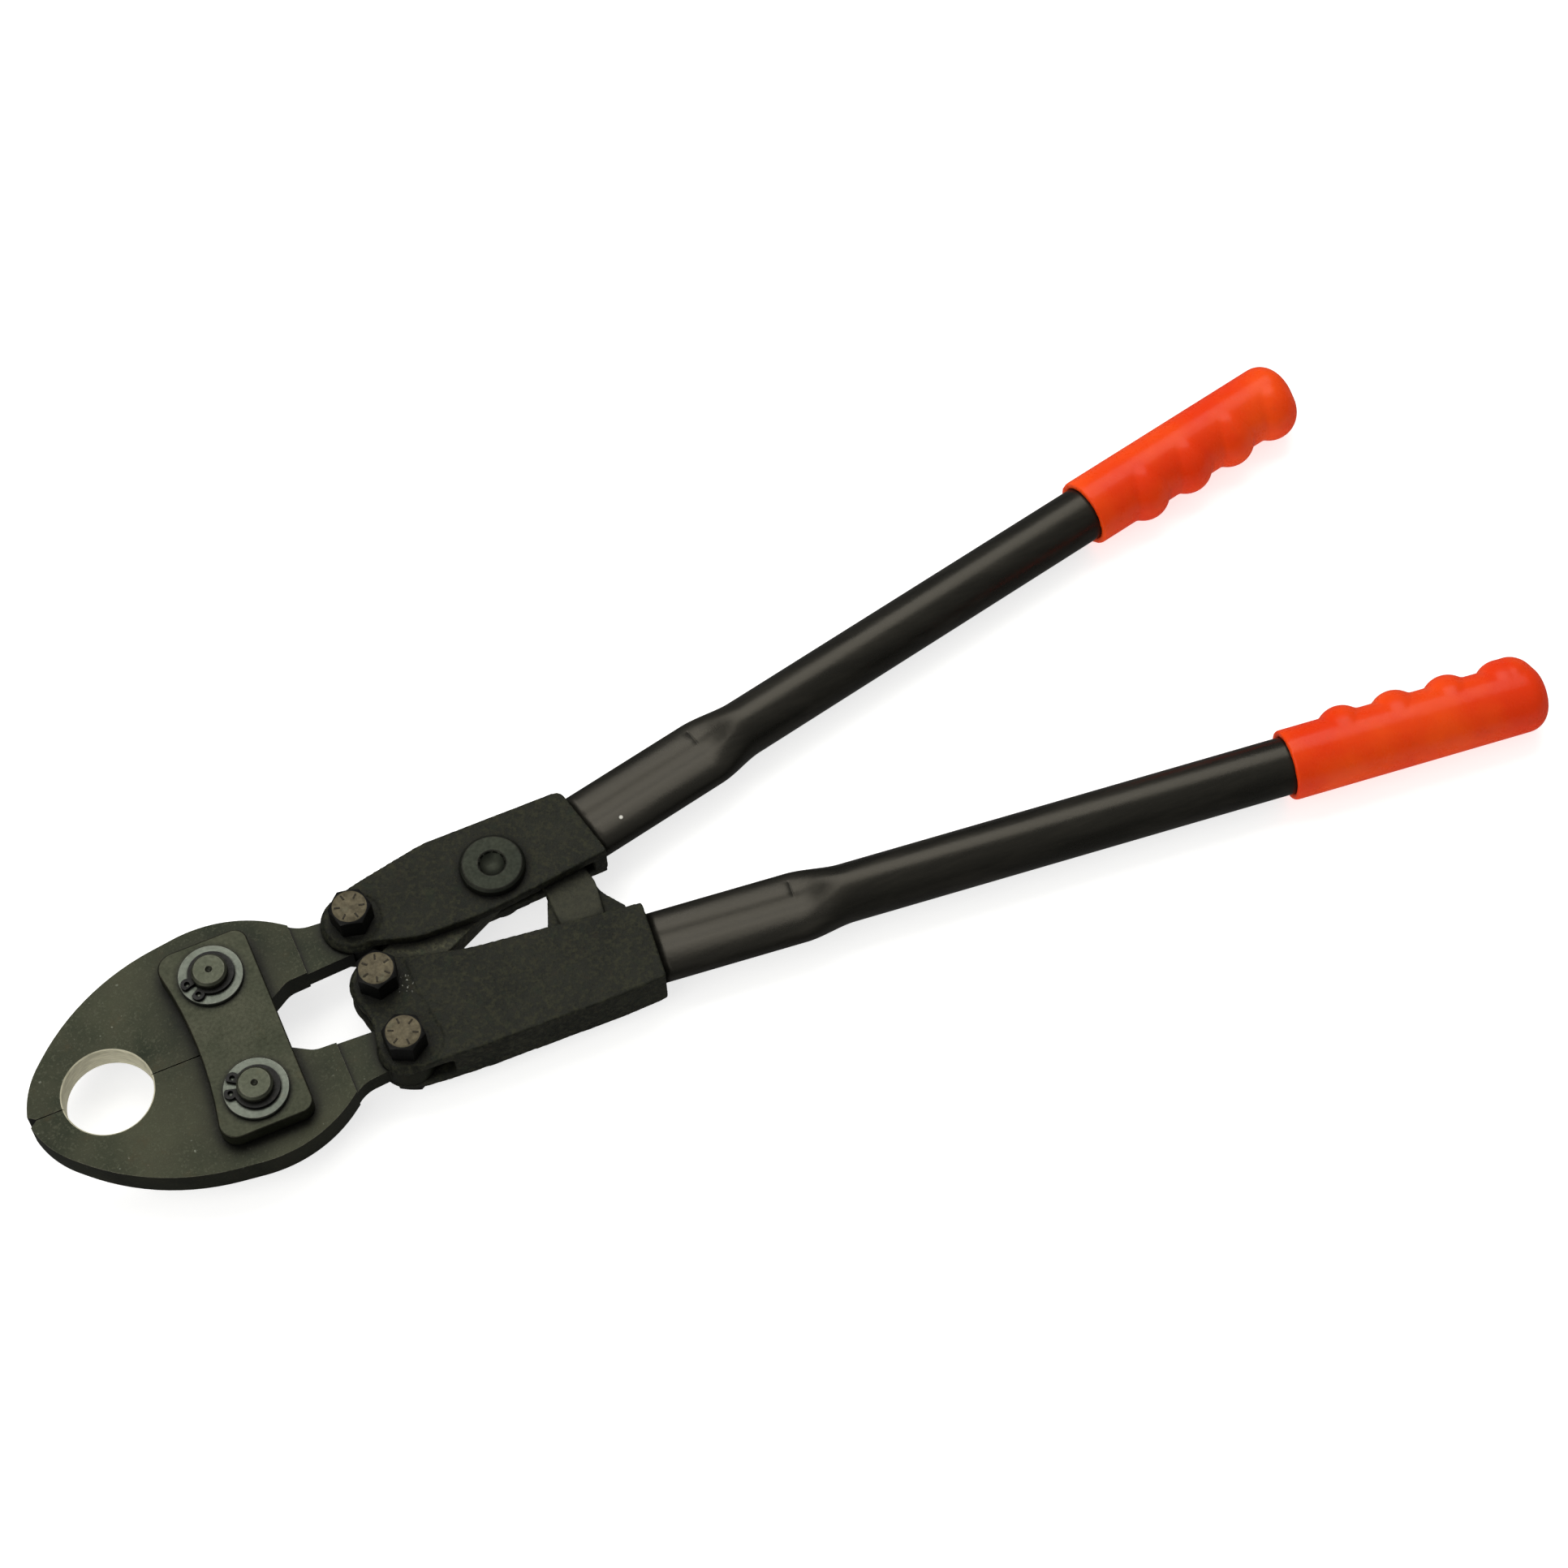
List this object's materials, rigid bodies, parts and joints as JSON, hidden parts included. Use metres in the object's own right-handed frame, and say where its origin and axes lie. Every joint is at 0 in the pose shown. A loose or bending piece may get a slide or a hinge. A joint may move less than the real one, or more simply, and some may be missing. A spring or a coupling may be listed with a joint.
{
  "type": "ring crimping tool",
  "caption": "Long-handled toggle crimping tool: two jaws close a round die, black tube handles, orange grips with finger bumps.",
  "frame": {"origin": "centre of the closed die, halfway through the jaws' thickness", "axes": "+X towards the handles, +Y towards the handle that carries the riveted centre link, +Z along the die and the pivots, out of the front strap"},
  "size_m": [0.5265, 0.1724, 0.0341],
  "materials": {
    "jaw_steel": "black-oxide ground steel, dark olive grey, satin, worn bright on the die's edge",
    "strap_steel": "black-oxide steel plate, satin, lightly oiled",
    "pin_steel": "turned steel, grey, satin end faces",
    "washer_steel": "blued steel, satin",
    "ring_steel": "black spring steel",
    "bolt_steel": "head worn to tan-grey metal on top, black oxide on its sides",
    "nut_steel": "black oxide steel",
    "cast_metal": "rough casting, black-brown oxide, matt",
    "link_steel": "forged steel, dark, matt",
    "rivet_steel": "headed steel rivet, dark grey, satin",
    "tube_paint": "black enamel on steel tube, semi-gloss",
    "grip_vinyl": "dipped vinyl, orange-red, glossy"
  },
  "bodies": {
    "head": {"front_strap": "strap_steel", "rear_strap": "strap_steel", "upper_jaw_pin": "pin_steel", "lower_jaw_pin": "pin_steel", "front_upper_washer": "washer_steel", "front_lower_washer": "washer_steel", "rear_upper_washer": "washer_steel", "rear_lower_washer": "washer_steel", "front_upper_ring": "ring_steel", "front_lower_ring": "ring_steel", "rear_upper_ring": "ring_steel", "rear_lower_ring": "ring_steel"},
    "upper_jaw": {"upper_jaw": "jaw_steel"},
    "lower_jaw": {"lower_jaw": "jaw_steel"},
    "centre_pivot": {"centre_bolt": "bolt_steel", "centre_nut": "nut_steel"},
    "upper_handle": {"upper_adapter": "cast_metal", "centre_link": "link_steel", "link_rivet": "rivet_steel", "upper_jaw_bolt": "bolt_steel", "upper_jaw_nut": "nut_steel", "upper_tube": "tube_paint", "upper_grip": "grip_vinyl"},
    "lower_handle": {"lower_adapter": "cast_metal", "lower_jaw_bolt": "bolt_steel", "lower_jaw_nut": "nut_steel", "lower_tube": "tube_paint", "lower_grip": "grip_vinyl"}
  },
  "joints": [
    {"name": "upper_jaw_pivot", "type": "hinge", "parent": "head", "child": "upper_jaw", "pos_m": [0.0444, 0.0223, 0], "axis": [0, 0, -1], "range_deg": [0, 13]},
    {"name": "lower_jaw_pivot", "type": "hinge", "parent": "head", "child": "lower_jaw", "pos_m": [0.0444, -0.0223, 0], "axis": [0, 0, 1], "range_deg": [0, 13]},
    {"name": "centre_travel", "type": "slide", "parent": "head", "child": "centre_pivot", "axis": [1, 0, 0], "range_m": [0, 0.0214]},
    {"name": "upper_handle_swing", "type": "hinge", "parent": "centre_pivot", "child": "upper_handle", "pos_m": [0.0945, 0, 0], "axis": [0, 0, 1], "range_deg": [0, 57.5]},
    {"name": "lower_handle_swing", "type": "hinge", "parent": "centre_pivot", "child": "lower_handle", "pos_m": [0.0945, 0, 0], "axis": [0, 0, -1], "range_deg": [0, 57.5]}
  ],
  "couplings": [
    {"joint": "lower_handle_swing", "follows": "upper_handle_swing", "ratio": 1},
    {"joint": "upper_jaw_pivot", "follows": "upper_handle_swing", "ratio": 0.225},
    {"joint": "lower_jaw_pivot", "follows": "upper_handle_swing", "ratio": 0.225},
    {"joint": "centre_travel", "follows": "upper_handle_swing", "m_per_rad": 0.0213}
  ]
}
